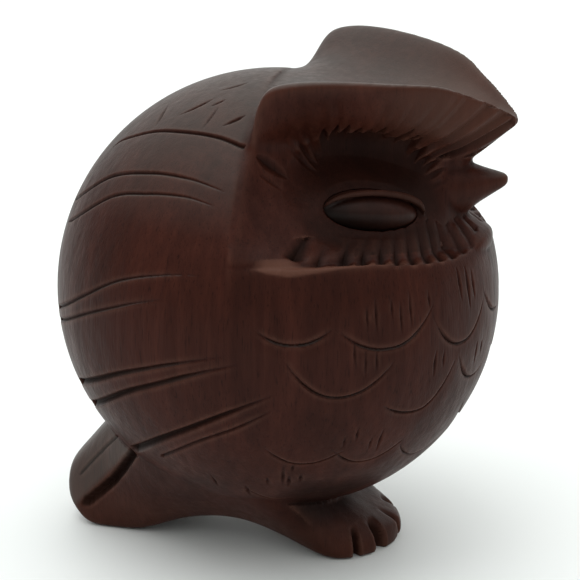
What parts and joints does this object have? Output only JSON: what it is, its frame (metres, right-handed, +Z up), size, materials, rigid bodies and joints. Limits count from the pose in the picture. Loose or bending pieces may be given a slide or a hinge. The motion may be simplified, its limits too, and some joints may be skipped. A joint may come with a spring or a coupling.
{
  "type": "owl figurine",
  "caption": "Round owl carved from dark hardwood, with a jutting brow, hollowed face, set-in eyes and grooved wings; it stands on its feet and tail as a shelf ornament",
  "frame": {"origin": "middle of the footprint box, on the surface the owl stands on", "axes": "the owl faces -Y and +Z is up; +X is the owl's own left side, and X = 0 is its mirror plane"},
  "size_m": [0.076, 0.0835, 0.091],
  "materials": {
    "rosewood": "oiled and rubbed to a satin shine",
    "eye_wood": "polished dark hardwood"
  },
  "bodies": {
    "root": {"carved_body": "rosewood", "left_eye": "eye_wood", "right_eye": "eye_wood"}
  },
  "joints": []
}
